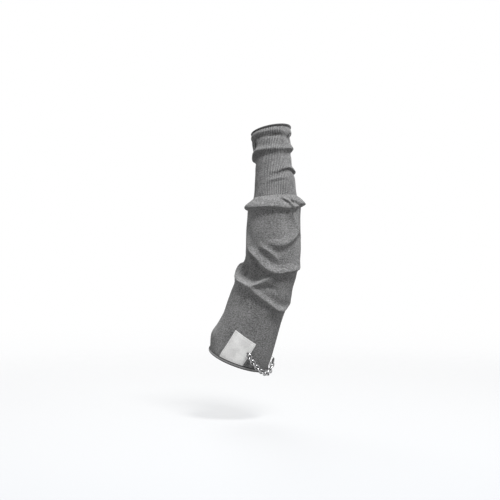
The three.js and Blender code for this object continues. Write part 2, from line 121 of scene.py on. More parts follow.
worldLinks.new(rayKind.outputs["Is Camera Ray"], either.inputs[0])
worldLinks.new(lit.outputs[0], either.inputs[1])
worldLinks.new(seen.outputs[0], either.inputs[2])
worldLinks.new(either.outputs[0], worldOut.inputs[0])
sceneNow.view_settings.view_transform = "Standard"
say("camera and light")


# shader maths written as sums on sockets
class Wire:
    def __init__(self, paint, socket):
        self.paint = paint
        self.socket = socket

    def math(self, operation, *others):
        return self.paint.node("Math", dict(operation=operation), dict(enumerate((self, *others))))

    def length(self):
        return self.paint.node("VectorMath", dict(operation="LENGTH"), {0: self}, out=1)

    def __add__(self, other):
        return self.math("ADD", other)

    def __sub__(self, other):
        return self.math("SUBTRACT", other)

    def __mul__(self, other):
        return self.math("MULTIPLY", other)

    def __pow__(self, other):
        return self.math("POWER", other)


class Paint:
    def __init__(self, name, **fixed):
        self.material = bpy.data.materials.new(name)
        self.material.use_nodes = True
        self.tree = self.material.node_tree
        self.shader = self.tree.nodes["Principled BSDF"]
        for socket, value in fixed.items():
            self.shader.inputs[socket.replace("_", " ")].default_value = value

    def node(self, kind, settings=None, inputs=None, out=0):
        made = self.tree.nodes.new("ShaderNode" + kind)
        for key, value in (settings or {}).items():
            if key == "stops":
                for element, (place, tone) in zip(self.ramp(made, len(value)), value):
                    element.position = place
                    element.color = (tone, tone, tone, 1)
            else:
                setattr(made, key, value)
        for key, value in (inputs or {}).items():
            if isinstance(value, Wire):
                self.tree.links.new(value.socket, made.inputs[key])
            else:
                made.inputs[key].default_value = value
        return Wire(self, made.outputs[out])

    def ramp(self, made, count):
        while len(made.color_ramp.elements) < count:
            made.color_ramp.elements.new(0.5)
        return made.color_ramp.elements

    def feed(self, socket, wire):
        self.tree.links.new(wire.socket, self.shader.inputs[socket])

    def place(self, kind):
        return self.node("TexCoord", out=kind)

    def split(self, vector):
        made = self.tree.nodes.new("ShaderNodeSeparateXYZ")
        self.tree.links.new(vector.socket, made.inputs[0])
        return [Wire(self, made.outputs[i]) for i in range(3)]

    def noise(self, vector, scale, detail=2.0, roughness=0.5):
        inputs = {"Vector": vector, "Scale": scale, "Detail": detail, "Roughness": roughness}
        return self.node("TexNoise", inputs=inputs)

    def fibres(self, scale, detail=2.0, roughness=0.5): # noise that stays on the piece
        return self.noise(self.place("Object"), scale, detail, roughness)

    def mix(self, factor, low, high):
        return self.node("Mix", dict(data_type="RGBA"), {0: factor, 6: low, 7: high}, out=2)

    def tone(self, factor, dark, light):
        return self.mix(factor, (*dark, 1), (*light, 1))

    def aroundTone(self, factor, middle, spread): # a tone and as much to each side of it
        return self.tone(factor, [(1 - spread) * c for c in middle], [(1 + spread) * c for c in middle])

    def bump(self, height, distance):
        return self.node("Bump", inputs={"Height": height, "Distance": distance})


# the form of the sleeve, in millimetres along the arm from the hem
sleeve = dict(
    bodyLength=309, cuffLength=125, upperArm=195, elbowBend=19.5, elbowRadius=150, bow=18,
    armWidth=112, armDepth=100, wristWidth=76, wristDepth=64, wall=1.6,
    bodyFold=8, bodyReach=7.5, cuffFold=4, cuffReach=4.6,
)
bodySections = [ # height, wide, deep, shift, lean, as shares of the piece's length, width and depth
    (0, 1.005, 1.02, 0.005, 0), (0.05, 1.02, 1.02, 0, 0), (0.1, 1.01, 1.02, 0, 0),
    (0.2, 0.99, 1, -0.01, 0), (0.3, 0.95, 0.98, -0.01, 0), (0.4, 0.94, 0.97, -0.01, 0),
    (0.5, 0.92, 0.95, -0.01, 0), (0.6, 0.9, 0.93, 0, 0), (0.7, 0.9, 0.93, 0, 0),
    (0.8, 0.89, 0.92, 0, 0), (0.9, 0.87, 0.91, 0.01, 0.01), (0.937, 0.89, 0.98, 0.015, 0.02),
    (0.961, 0.94, 0.91, 0.02, 0.025), (0.982, 0.83, 0.8, 0.03, 0.03),
]
cuffSections = [
    (0, 1.05, 1.08, 0.045, 0.035), (0.25, 0.965, 1, 0.04, 0.03), (0.45, 0.88, 0.93, 0.01, 0.03),
    (0.62, 0.89, 0.93, -0.01, 0.03), (0.85, 0.93, 0.96, -0.05, 0.06), (1, 0.94, 0.98, -0.05, 0.09),
]
# Folds. rise is the height and up and down are the reach to each side, as shares of the full fold. dip
# is the depth of the crease below it, sag is how far it hangs down. A path has turn, height, strength.
bodyFolds = [
    dict(name="collar roll", rise=0.5, up=0.75, down=0.5, dip=0.2, sag=0.8, path=[
        (-0.5, 0.935, 1), (-0.25, 0.95, 0.8), (-0.15, 0.943, 1), (-0.02, 0.938, 1), (0.083, 0.926, 0.9),
        (0.15, 0.94, 0.9), (0.2, 0.96, 1.2), (0.3, 0.96, 1.1), (0.4, 0.94, 1), (0.5, 0.935, 1)]),
    dict(name="smile", rise=0.75, up=0.9, down=0.85, dip=0.15, sag=0.3, path=[
        (0.2, 0.81, 0), (0.126, 0.765, 0.9), (0.08, 0.734, 1), (0.03, 0.719, 0.9), (-0.04, 0.732, 0)]),
    dict(name="major", rise=0.65, up=0.9, down=0.7, dip=0.4, sag=0.5, path=[
        (-0.21, 0.82, 0), (-0.187, 0.75, 0.6), (-0.156, 0.69, 0.9), (-0.11, 0.65, 1),
        (-0.034, 0.589, 1.1), (0.03, 0.575, 1), (0.1, 0.595, 0.9), (0.17, 0.61, 0.7),
        (0.26, 0.625, 0.35), (0.42, 0.66, 0)]),
    dict(name="inner", rise=0.35, up=0.7, down=0.7, dip=0.1, sag=0.1, path=[
        (-0.1, 0.722, 0), (-0.049, 0.689, 1), (-0.005, 0.658, 0.9), (0.045, 0.622, 0)]),
    dict(name="elbow flap", rise=0.65, up=0.42, down=1.2, dip=0.1, sag=-0.1, path=[
        (-0.46, 0.62, 0), (-0.37, 0.57, 1), (-0.31, 0.54, 1.5), (-0.27, 0.505, 1.3), (-0.235, 0.475, 1),
        (-0.19, 0.46, 1), (-0.126, 0.448, 0.9), (-0.07, 0.452, 0.8), (-0.02, 0.492, 0.6),
        (0.03, 0.545, 0.3), (0.06, 0.575, 0)]),
    dict(name="flap recess", rise=-1, up=1.6, down=0.6, dip=0, sag=0, path=[
        (-0.262, 0.59, 0.4), (-0.235, 0.545, 1.1), (-0.2, 0.512, 1.2), (-0.16, 0.492, 1),
        (-0.126, 0.486, 1), (-0.07, 0.49, 1), (-0.03, 0.522, 0.7), (0, 0.56, 0)]),
    dict(name="lower", rise=0.4, up=0.6, down=0.7, dip=0.22, sag=0.3, path=[
        (-0.09, 0.452, 0.3), (-0.038, 0.432, 0.8), (0, 0.417, 1), (0.065, 0.394, 1), (0.12, 0.378, 1),
        (0.174, 0.38, 0.75), (0.23, 0.41, 0.6), (0.31, 0.44, 0.5), (0.4, 0.46, 0)]),
    dict(name="crease over lower", rise=-0.35, up=0.6, down=0.6, dip=0, sag=0, path=[
        (-0.06, 0.445, 0), (-0.017, 0.463, 1), (0.04, 0.478, 1), (0.1, 0.466, 0)]),
    dict(name="soft", rise=0.25, up=0.9, down=0.8, dip=0, sag=0, path=[
        (0.02, 0.318, 0), (0.055, 0.342, 1), (0.1, 0.36, 0)]),
    dict(name="back smile", rise=0.6, up=1.2, down=0.9, dip=0.2, sag=0.3, path=[
        (0.4, 0.8, 0), (0.47, 0.755, 1), (0.54, 0.745, 0.9), (0.62, 0.79, 0)]),
    dict(name="back elbow", rise=0.75, up=0.9, down=0.7, dip=0.25, sag=0.3, path=[
        (-0.3, 0.44, 0), (-0.38, 0.42, 0.9), (-0.47, 0.43, 1), (-0.56, 0.47, 0.8), (-0.63, 0.52, 0)]),
    dict(name="back lower", rise=0.4, up=1.1, down=1, dip=0.2, sag=0.1, path=[
        (0.34, 0.3, 0), (0.45, 0.265, 1), (0.56, 0.3, 0)]),
    dict(name="back crossing", rise=0.5, up=0.9, down=0.8, dip=0.2, sag=0.3, path=[
        (0.3, 0.61, 0), (0.38, 0.63, 0.9), (0.46, 0.6, 1), (0.54, 0.59, 0.8), (0.62, 0.62, 0)]),
]
cuffFolds = [
    dict(name="rim roll", rise=0.75, up=1.0, down=0.8, dip=0.45, sag=0.4, path=[
        (-0.5, 0.92, 0.8), (-0.25, 0.92, 0.4), (-0.12, 0.94, 1), (0, 0.94, 1), (0.08, 0.93, 0.9),
        (0.14, 0.92, 0.7), (0.22, 0.915, 0.7), (0.36, 0.92, 1), (0.5, 0.92, 1)]),
    dict(name="ring", rise=1.15, up=0.9, down=1.3, dip=0.3, sag=0.6, path=[
        (-0.5, 0.65, 0.8), (-0.37, 0.61, 0.9), (-0.28, 0.6, 1.05), (-0.215, 0.65, 0.9),
        (-0.161, 0.685, 0.85), (-0.068, 0.682, 0.85), (0.004, 0.676, 0.85), (0.093, 0.682, 0.9),
        (0.2, 0.71, 1), (0.28, 0.72, 1), (0.39, 0.69, 0.9), (0.5, 0.65, 0.8)]),
    dict(name="half ring", rise=0.9, up=1, down=0.7, dip=0.4, sag=0.45, path=[
        (-0.06, 0.335, 0), (0.009, 0.343, 0.5), (0.081, 0.389, 0.9), (0.151, 0.407, 1),
        (0.237, 0.37, 1.2), (0.33, 0.36, 0.9), (0.46, 0.39, 0)]),
    dict(name="short ring", rise=0.4, up=0.9, down=0.6, dip=0.4, sag=0.2, path=[
        (-0.09, 0.2, 0), (-0.007, 0.225, 1), (0.06, 0.24, 0.8), (0.13, 0.25, 0)]),
    dict(name="back ring", rise=0.5, up=1.1, down=1, dip=0.3, sag=0.2, path=[
        (0.42, 0.47, 0), (0.52, 0.5, 1), (0.62, 0.49, 0.9), (0.72, 0.46, 0)]),
]
bodyPuffs = [ # round swellings and hollows: name, turn, height, rise, across, along
    ("hem left", -0.24, 0.1, 0.75, 3, 2.1), ("above hem left", -0.25, 0.235, -0.25, 3, 2),
    ("elbow right", 0.25, 0.44, 0.45, 3, 2.2), ("flap pocket", -0.172, 0.538, -1.4, 1.1, 1.7),
    ("behind the flap", -0.09, 0.53, -0.4, 2.2, 1.8),
    ("right hollow", 0.083, 0.83, -0.3, 1.4, 3.4), ("collar pocket", 0.14, 0.97, -0.4, 2.2, 0.7),
]
cuffPuffs = [
    ("right triangle", 0.18, 0.83, -1.1, 1, 1.2), ("rim shade", 0.02, 0.85, -0.5, 2.8, 0.8),
    ("left hollow", -0.182, 0.805, -2.2, 1.15, 1.9),
]

# crisp lines that lie on the broad folds
bodyRidges = [
    dict(name="major crest", rise=0.32, up=0.42, down=0.34, dip=0.6, sag=0.6, path=[
        (-0.18, 0.74, 0), (-0.15, 0.69, 0.9), (-0.11, 0.652, 1), (-0.034, 0.592, 1.1), (0.03, 0.578, 1),
        (0.1, 0.598, 0.8), (0.2, 0.615, 0.6), (0.28, 0.63, 0)]),
    dict(name="flap crest", rise=0.36, up=0.38, down=0.42, dip=0.3, sag=0.2, path=[
        (-0.26, 0.5, 0), (-0.191, 0.463, 0.9), (-0.126, 0.45, 1), (-0.08, 0.449, 1), (-0.05, 0.462, 0.9),
        (-0.025, 0.486, 0.7), (0, 0.513, 0.6), (0.03, 0.545, 0)]),
    dict(name="lower crest", rise=0.42, up=0.34, down=0.34, dip=0.35, sag=0.5, path=[
        (-0.08, 0.449, 0.5), (-0.038, 0.434, 1), (0, 0.42, 1), (0.065, 0.397, 1), (0.12, 0.38, 1),
        (0.174, 0.383, 0.8), (0.22, 0.41, 0)]),
    dict(name="flap hollow", rise=-0.34, up=0.55, down=0.38, dip=0, sag=0, path=[
        (-0.262, 0.545, 0), (-0.235, 0.512, 0.8), (-0.2, 0.488, 1), (-0.16, 0.474, 1), (-0.126, 0.469, 1),
        (-0.08, 0.47, 0.8), (-0.05, 0.482, 0.5), (-0.02, 0.507, 0)]),
    dict(name="major hollow", rise=-0.22, up=0.85, down=0.5, dip=0, sag=0, path=[
        (-0.05, 0.63, 0), (-0.01, 0.613, 0.8), (0.03, 0.605, 1), (0.08, 0.614, 1), (0.13, 0.627, 0.8),
        (0.19, 0.645, 0)]),
    dict(name="lower hollow", rise=-0.2, up=1, down=0.5, dip=0, sag=0, path=[
        (-0.03, 0.46, 0), (0, 0.446, 0.3), (0.065, 0.424, 0.8), (0.12, 0.407, 1), (0.16, 0.409, 0.8),
        (0.2, 0.43, 0)]),
    dict(name="inner crest", rise=0.18, up=0.32, down=0.3, dip=0.3, sag=0.2, path=[
        (-0.09, 0.712, 0), (-0.049, 0.69, 1), (-0.005, 0.66, 1), (0.03, 0.633, 0)]),
    dict(name="second inner crest", rise=0.2, up=0.32, down=0.3, dip=0.25, sag=0.2, path=[
        (-0.11, 0.66, 0), (-0.092, 0.645, 1), (-0.059, 0.63, 1), (-0.02, 0.62, 0)]),
    dict(name="collar seam", rise=0.75, up=0.36, down=0.22, dip=0, sag=0.3, path=[
        (0.03, 0.985, 0), (0.047, 0.975, 1), (0.073, 0.96, 1), (0.111, 0.931, 0.9), (0.101, 0.905, 0.6),
        (0.105, 0.883, 0.5), (0.108, 0.849, 0)]),
    dict(name="collar groove", rise=-0.85, up=0.34, down=0.3, dip=0, sag=0, path=[
        (0.082, 0.968, 0), (0.112, 0.957, 1), (0.145, 0.95, 1), (0.175, 0.948, 0.8), (0.205, 0.952, 0)]),
    dict(name="thread line", rise=0.3, up=0.2, down=0.36, dip=0, sag=0, path=[
        (0.12, 0.9, 0), (0.126, 0.871, 1), (0.152, 0.828, 1), (0.2, 0.783, 0.8), (0.24, 0.75, 0)]),
    dict(name="right small ridge", rise=0.16, up=0.35, down=0.35, dip=0.4, sag=0, path=[
        (0.15, 0.485, 0), (0.16, 0.466, 1), (0.179, 0.438, 1), (0.179, 0.41, 0)]),
    dict(name="back smile crest", rise=0.25, up=0.4, down=0.35, dip=0.3, sag=0.3, path=[
        (0.41, 0.79, 0), (0.47, 0.757, 1), (0.54, 0.747, 1), (0.6, 0.777, 0)]),
    dict(name="back elbow crest", rise=0.3, up=0.4, down=0.35, dip=0.3, sag=0.3, path=[
        (-0.32, 0.435, 0), (-0.39, 0.42, 1), (-0.47, 0.43, 1), (-0.56, 0.47, 0.8), (-0.61, 0.51, 0)]),
    dict(name="back crossing crest", rise=0.25, up=0.4, down=0.35, dip=0.3, sag=0.3, path=[
        (0.32, 0.615, 0), (0.38, 0.63, 1), (0.46, 0.602, 1), (0.54, 0.592, 0.8), (0.6, 0.61, 0)]),
    dict(name="shelf crease", rise=0.25, up=0.35, down=0.35, dip=0.4, sag=0, path=[
        (-0.16, 0.975, 0), (-0.1, 0.985, 1), (-0.03, 0.965, 0.8), (0.03, 0.96, 0)]),
]
cuffRidges = [
    dict(name="rim bulge", rise=0.5, up=0.9, down=0.65, dip=0.4, sag=0.2, path=[
        (-0.2, 0.9, 0), (-0.12, 0.905, 0.8), (0, 0.9, 1), (0.08, 0.89, 1), (0.14, 0.875, 1),
        (0.2, 0.87, 0.6), (0.26, 0.89, 0)]),
    dict(name="ring crest", rise=0.25, up=0.45, down=0.45, dip=0.5, sag=0.3, path=[
        (-0.24, 0.65, 0), (-0.16, 0.69, 1), (-0.068, 0.685, 1), (0.004, 0.68, 1), (0.093, 0.687, 1),
        (0.2, 0.715, 1), (0.28, 0.72, 0)]),
    dict(name="half ring crest", rise=0.2, up=0.4, down=0.4, dip=0.5, sag=0.3, path=[
        (0.03, 0.36, 0), (0.081, 0.392, 1), (0.151, 0.41, 1), (0.237, 0.372, 1), (0.3, 0.36, 0)]),
]

body = dict(start=0, length=sleeve["bodyLength"], fold=sleeve["bodyFold"], reach=sleeve["bodyReach"])
cuff = dict(
    start=sleeve["bodyLength"], length=sleeve["cuffLength"],
    fold=sleeve["cuffFold"], reach=sleeve["cuffReach"],
)
body["girth"] = math.pi * (sleeve["armWidth"] + sleeve["armDepth"]) / 2
cuff["girth"] = math.pi * (sleeve["wristWidth"] + sleeve["wristDepth"]) / 2
sleeveLength = sleeve["bodyLength"] + sleeve["cuffLength"]


def armAt(along): # the middle line, with the directions up it, to the right and to the front
    bend, radius, upper = math.radians(sleeve["elbowBend"]), sleeve["elbowRadius"], sleeve["upperArm"]
    bendStart = upper - radius * math.tan(bend / 2)
    tilt = np.clip(bend - (along - bendStart) / radius, 0, bend)
    below = np.minimum(along, bendStart)
    above = np.maximum(along - bendStart - radius * bend, 0)
    fromElbow = (along - upper) / upper
    middle = np.stack([
        below * math.sin(bend) + radius * (np.cos(tilt) - math.cos(bend)),
        sleeve["bow"] * (fromElbow ** 2 - 1),
        below * math.cos(bend) + radius * (math.sin(bend) - np.sin(tilt)) + above,
    ], -1)
    up = np.stack([np.sin(tilt), 2 * sleeve["bow"] * fromElbow / upper, np.cos(tilt)], -1)
    up /= np.linalg.norm(up, axis=-1, keepdims=True)
    right = np.stack([np.cos(tilt), 0 * tilt, -np.sin(tilt)], -1)
    return middle, up, right, np.cross(right, up)


def measure(rows, piece, width, depth): # sections in millimetres
    measured = np.array(rows) * (piece["length"], width / 2, depth / 2, width, width)
    measured[:, 0] += piece["start"]
    return measured


sections = np.vstack([
    measure(bodySections, body, sleeve["armWidth"], sleeve["armDepth"]),
    measure(cuffSections, cuff, sleeve["wristWidth"], sleeve["wristDepth"]),
])


def sectionAt(along): # half width, half depth, shift and lean, smooth between the sections
    heights, rows = sections[:, 0], sections[:, 1:]
    inside = np.clip(along, heights[0], heights[-1])
    at = np.clip(np.searchsorted(heights, inside, side="right") - 1, 0, len(heights) - 2)
    before = np.maximum(np.arange(len(heights)) - 1, 0)
    after = np.minimum(np.arange(len(heights)) + 1, len(heights) - 1)
    slopes = (rows[after] - rows[before]) / (heights[after] - heights[before])[:, None]
    step = (heights[at + 1] - heights[at])[..., None]
    t = (inside - heights[at])[..., None] / step
    return (
        (2 * t ** 3 - 3 * t ** 2 + 1) * rows[at] + (t ** 3 - 2 * t ** 2 + t) * step * slopes[at]
        + (3 * t ** 2 - 2 * t ** 3) * rows[at + 1] + (t ** 3 - t ** 2) * step * slopes[at + 1]
    )


def smoothLine(points, perSpan):
    line = []
    last = len(points) - 1
    for i in range(last):
        a, b, c, d = points[max(i - 1, 0)], points[i], points[i + 1], points[min(i + 2, last)]
        for k in range(perSpan + (i == last - 1)):
            t = k / perSpan
            square, cube = 2 * a - 5 * b + 4 * c - d, 3 * b - a - 3 * c + d
            line.append(0.5 * (2 * b + (c - a) * t + square * t ** 2 + cube * t ** 3))
    return np.array(line)


def traceFold(fold, piece): # smooth line through the fold's points
    points = np.array(fold["path"], float)
    points[:, 1] = piece["start"] + points[:, 1] * piece["length"]
    line = smoothLine(points, 5)
    line[:, 2] = np.maximum(line[:, 2], 0)
    return dict(fold, piece=piece, line=line)


folds = [traceFold(fold, body) for fold in bodyFolds] + [traceFold(fold, cuff) for fold in cuffFolds]
ridges = [traceFold(fold, body) for fold in bodyRidges] + [traceFold(fold, cuff) for fold in cuffRidges]
puffs = [(body, puff) for puff in bodyPuffs] + [(cuff, puff) for puff in cuffPuffs]


def nearestOnFold(fold, turn, along): # distance, side and strength of the fold's nearest place
    girth, line = fold["piece"]["girth"], fold["line"]
    best = np.full(turn.shape, np.inf)
    side, strength = np.ones(turn.shape), np.zeros(turn.shape)
    leftToRight = 1 if line[-1, 0] > line[0, 0] else -1
    for start, end in zip(line[:-1], line[1:]):
        across, rise = (end[0] - start[0]) * girth, end[1] - start[1]
        dx, dy = turn - start[0], along - start[1]
        dx = (dx - np.round(dx)) * girth
        t = np.clip((dx * across + dy * rise) / (across ** 2 + rise ** 2), 0, 1)
        distance = np.hypot(dx - t * across, dy - t * rise)
        closer = distance < best
        best = np.where(closer, distance, best)
        side = np.where(closer, np.where(leftToRight * (across * dy - rise * dx) >= 0, 1, -1), side)
        strength = np.where(closer, start[2] + t * (end[2] - start[2]), strength)
    return best, side, strength


creaseAt = 1.9 # where a fold's crease lies, in shares of its spread


def reliefAt(turn, along): # how far the folds lift the cloth and pull it down
    lift, drop = np.zeros(turn.shape), np.zeros(turn.shape)
    for fold in folds + ridges:
        piece = fold["piece"]
        far = piece["reach"] * 4
        near = (along > fold["line"][:, 1].min() - far) & (along < fold["line"][:, 1].max() + far)
        if not near.any():
            continue
        distance, side, strength = nearestOnFold(fold, turn[near], along[near])
        spread = piece["reach"] * np.where(side > 0, fold["up"], fold["down"])
        height = piece["fold"] * fold["rise"] * strength
        bump = np.exp(-((distance / spread) ** 2))
        crease = np.exp(-((distance / spread - creaseAt) ** 2)) - math.exp(-creaseAt ** 2) * bump
        crease = np.where(side > 0, 0, crease)
        lift[near] += height * (bump - fold["dip"] * crease)
        drop[near] += height * fold["sag"] * bump
    for piece, (name, puffTurn, height, rise, across, stretch) in puffs:
        dx = turn - puffTurn
        dx = (dx - np.round(dx)) * piece["girth"] / (piece["reach"] * across)
        dy = (along - piece["start"] - height * piece["length"]) / (piece["reach"] * stretch)
        lift += piece["fold"] * rise * np.exp(-(dx ** 2) - dy ** 2)
    return lift, drop


def facePoint(turn, along): # a place on the sleeve's outer face
    turn, along = np.broadcast_arrays(np.asarray(turn, float), np.asarray(along, float))
    middle, up, right, front = armAt(along)
    section = sectionAt(along)
    wide, deep, shift, lean = [section[..., i:i + 1] for i in range(4)]
    lift, drop = reliefAt(turn, along)
    sine, cosine = np.sin(2 * math.pi * turn)[..., None], np.cos(2 * math.pi * turn)[..., None]
    off = right * sine / wide + front * cosine / deep
    off /= np.linalg.norm(off, axis=-1, keepdims=True)
    across = right * (wide * sine + shift) + front * deep * cosine
    return middle + across + up * (lean * sine - drop[..., None]) + off * lift[..., None]


def faceNormal(turn, along):
    turnStep = 1 / body["girth"]
    around = facePoint(turn + turnStep, along) - facePoint(turn - turnStep, along)
    upward = facePoint(turn, along + 1) - facePoint(turn, along - 1)
    normal = np.cross(around, upward)
    return normal / np.linalg.norm(normal, axis=-1, keepdims=True)


def clothPoint(turn, along, out): # out is the height above the outer face
    turn, along, out = np.broadcast_arrays(*[np.asarray(v, float) for v in (turn, along, out)])
    return facePoint(turn, along) + faceNormal(turn, along) * out[..., None]


def coordinates(piece):
    found = np.empty(len(piece.data.vertices) * 3)
    piece.data.vertices.foreach_get("co", found)
    return found.reshape(-1, 3)


def moveTo(piece, points):
    piece.data.vertices.foreach_set("co", np.asarray(points, float).ravel())
    piece.data.update()


def applyAll(piece):
    bpy.context.view_layer.objects.active = piece
    for modifier in list(piece.modifiers):
        bpy.ops.object.modifier_apply(modifier=modifier.name)


def finishPiece(piece, slot, material, *nodes):
    for polygon in piece.data.polygons:
        polygon.use_smooth = True
    piece.data.materials.clear()
    piece.data.materials.append(material)
    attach(piece, "root")
    if nodes:
        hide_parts(*nodes)
    piece.select_set(False)


def wrapGrid(name, columns, rows, place, closed=False): # a grid laid on the cloth, its ends joined
    bpy.ops.mesh.primitive_grid_add(x_subdivisions=columns, y_subdivisions=rows, size=2, calc_uvs=True)
    piece = bpy.context.object
    piece.name = piece.data.name = name
    flat = (coordinates(piece) + 1) / 2
    moveTo(piece, place(flat[:, 0], flat[:, 1]) * mm)
    bpy.ops.object.mode_set(mode="EDIT")
    bpy.ops.mesh.select_all(action="SELECT")
    bpy.ops.mesh.remove_doubles(threshold=1e-6)
    if closed:
        bpy.ops.mesh.normals_make_consistent(inside=False)
    bpy.ops.object.mode_set(mode="OBJECT")
    return piece


def thicken(piece, wall): # inwards, in millimetres
    solid = piece.modifiers.new("wall", "SOLIDIFY")
    solid.thickness = wall * mm
    solid.offset = -1
    applyAll(piece)


def knitTube(name, start, end, around, rows, out):
    def place(u, v):
        turn, along = u - 0.5, start + v * (end - start)
        return clothPoint(turn, along, out(turn, along))

    piece = wrapGrid(name, around, rows, place)
    thicken(piece, sleeve["wall"])
    return piece


# the dull yarn of both knits
yarn = dict(Roughness=0.92, Sheen_Weight=0.25, Sheen_Roughness=0.5, Specular_IOR_Level=0.2)

# plain knit body
knit = dict(
    gap=0.15, # mm that the tube is shorter than the body
    around=216, rows=200,
    gathers=46, gatherHeight=0.5, gatherSway=0.4, gatherSways=5, # where the knit is drawn into the cuff
    gatherFrom=0.95, gatherSpan=0.04, # shares of the body's length
    wales=170, courses=240, legLean=0.55, # stitches round and along, and how far their legs rise
    fibreScale=900, grainScale=480, patchScale=45, # of the noise, per metre
    yarnFlecks=(75, 190, 1), # flecks round and along
    fibreTone=1.2, grainTone=2.8, fleckTone=2.2, patchTone=0.6, stitchShadeTone=0.3, # shares of the colour; the stitch share is painted shade in the grooves between the loops
    dark=(0.075, 0.075, 0.076), light=(0.315, 0.315, 0.316),
    fibreBump=0.5, grainBump=2.4, bumpDepth=0.0009,
)


def gatherOut(turn, along):
    nearCuff = np.clip((along / sleeve["bodyLength"] - knit["gatherFrom"]) / knit["gatherSpan"], 0, 1)
    sway = knit["gatherSway"] * np.sin(2 * math.pi * knit["gatherSways"] * turn)
    return knit["gatherHeight"] * nearCuff * np.sin(2 * math.pi * (knit["gathers"] * turn + sway))


def bodyMaterial():
    paint = Paint("bodyKnit", **yarn)
    across, up, _ = paint.split(paint.place("UV"))
    leg = ((across * knit["wales"]).math("FRACT") - 0.5).math("ABSOLUTE") * 2
    row = (up * knit["courses"] + leg * knit["legLean"]).math("FRACT")
    loop = (row * (2 * math.pi)).math("COSINE") * -0.5 + 0.5
    stitch = loop * 0.5 + (leg * math.pi).math("SINE") * 0.5
    fibres = paint.fibres(knit["fibreScale"], 3)
    patches = paint.fibres(knit["patchScale"])
    grain = paint.fibres(knit["grainScale"], 3, 0.75)
    yarnPlace = {0: paint.place("UV"), 1: knit["yarnFlecks"]}
    flecks = paint.noise(paint.node("VectorMath", dict(operation="MULTIPLY"), yarnPlace), 1, 2, 0.7)
    # painted shade: the stitch relief, which also drives the bump, darkens the grooves between the loops
    # and lightens the raised loops
    tone = (
        (fibres - 0.5) * knit["fibreTone"] + (grain - 0.5) * knit["grainTone"]
        + (flecks - 0.5) * knit["fleckTone"] + (patches - 0.5) * knit["patchTone"]
        + (stitch - 0.5) * knit["stitchShadeTone"] + 0.5
    )
    paint.feed("Base Color", paint.tone(tone, knit["dark"], knit["light"]))
    relief = stitch + fibres * knit["fibreBump"] + grain * knit["grainBump"]
    paint.feed("Normal", paint.bump(relief, knit["bumpDepth"]))
    return paint.material


bodyEnd = sleeve["bodyLength"] - knit["gap"]
bodyPiece = knitTube("sleeve_body_knit", 0, bodyEnd, knit["around"], knit["rows"], gatherOut)
finishPiece(bodyPiece, "knit_body", bodyMaterial(), "sleeve_body")
say("body")

# ribbed cuff
rib = dict(
    count=72, perRib=6, rows=80, height=1.25, # mm from the groove to the crest
    fullness=0.7, # below 1 the crests are broad and the grooves narrow
    waveMean=0.7, # of the wave that this gives
    tuck=1.2, # mm sewn under the end of the body
    sink=0.5, sinkAbove=1, sinkSpan=1.5, # mm that it lies lower there
    fibreScale=900, grainScale=430, patchScale=60, # of the noise, per metre
    fibreTone=1.0, grainTone=2.2, patchTone=0.7, ribShadeTone=0.8, # shares of the colour; the crest share is painted light and shade on the ribs
    crestMean=0.63,
    dark=(0.062, 0.062, 0.063), light=(0.24, 0.24, 0.241),
    fibreBump=0.5, grainBump=2, bumpDepth=0.0008,
)


def ribOut(turn, along):
    sewnUnder = np.clip((sleeve["bodyLength"] + rib["sinkAbove"] - along) / rib["sinkSpan"], 0, 1)
    wave = np.abs(np.cos(math.pi * rib["count"] * turn)) ** rib["fullness"]
    return rib["height"] * (wave - rib["waveMean"]) - rib["sink"] * sewnUnder


def cuffMaterial():
    paint = Paint("cuffKnit", **yarn)
    fibres = paint.fibres(rib["fibreScale"], 3)
    patches = paint.fibres(rib["patchScale"])
    grain = paint.fibres(rib["grainScale"], 3, 0.75)
    across, _, _ = paint.split(paint.place("UV"))
    # painted light and shade: lighter along each rib's crest and darker in the grooves, following the
    # ribs' wave
    crest = (across * (math.pi * rib["count"])).math("COSINE").math("ABSOLUTE")
    tone = (
        (fibres - 0.5) * rib["fibreTone"] + (grain - 0.5) * rib["grainTone"]
        + (patches - 0.5) * rib["patchTone"] + (crest - rib["crestMean"]) * rib["ribShadeTone"] + 0.5
    )
    paint.feed("Base Color", paint.tone(tone, rib["dark"], rib["light"]))
    relief = fibres * rib["fibreBump"] + grain * rib["grainBump"]
    paint.feed("Normal", paint.bump(relief, rib["bumpDepth"]))
    return paint.material


cuffStart, cuffColumns = sleeve["bodyLength"] - rib["tuck"], rib["count"] * rib["perRib"]
cuffPiece = knitTube("cuff_rib_knit", cuffStart, sleeveLength, cuffColumns, rib["rows"], ribOut)
finishPiece(cuffPiece, "knit_cuff", cuffMaterial(), "cuff_rib")
say("cuff")


# a short thread, laid once and copied along a row of places: each is a start and an end on the cloth
def sewThreads(name, ends, thick, lift, sides=6, cuts=4):
    bpy.ops.mesh.primitive_cylinder_add(vertices=sides, radius=1, depth=2, end_fill_type="TRIFAN")
    first = bpy.context.object
    bpy.ops.object.mode_set(mode="EDIT")
    for cut in range(1, cuts):
        level = -1 + 2 * cut / cuts
        bpy.ops.mesh.select_all(action="SELECT")
        bpy.ops.mesh.bisect(plane_co=(0, 0, level), plane_no=(0, 0, 1))
    bpy.ops.object.mode_set(mode="OBJECT")
    plain = coordinates(first)
    pattern = first.data
    copies = []
    for begin, finish, outward in ends:
        along = finish - begin
        length = np.linalg.norm(along)
        along = along / length
        side = np.cross(outward, along)
        side /= np.linalg.norm(side)
        above = np.cross(along, side)
        t = plain[:, 2:3]
        taper = np.sqrt(1 - 0.75 * t ** 4) * thick / 2 # half as thick at its ends
        points = (begin + finish) / 2 + along * t * length / 2 + side * plain[:, :1] * taper
        points = points + above * (plain[:, 1:2] * taper + lift * (1 - t ** 2))
        thread = bpy.data.objects.new(name, pattern.copy())
        bpy.context.collection.objects.link(thread)
        moveTo(thread, points * mm)
        copies.append(thread)
    bpy.data.objects.remove(first)
    for thread in copies:
        thread.select_set(True)
    bpy.context.view_layer.objects.active = copies[0]
    bpy.ops.object.join()
    piece = bpy.context.object
    piece.name = piece.data.name = name
    return piece


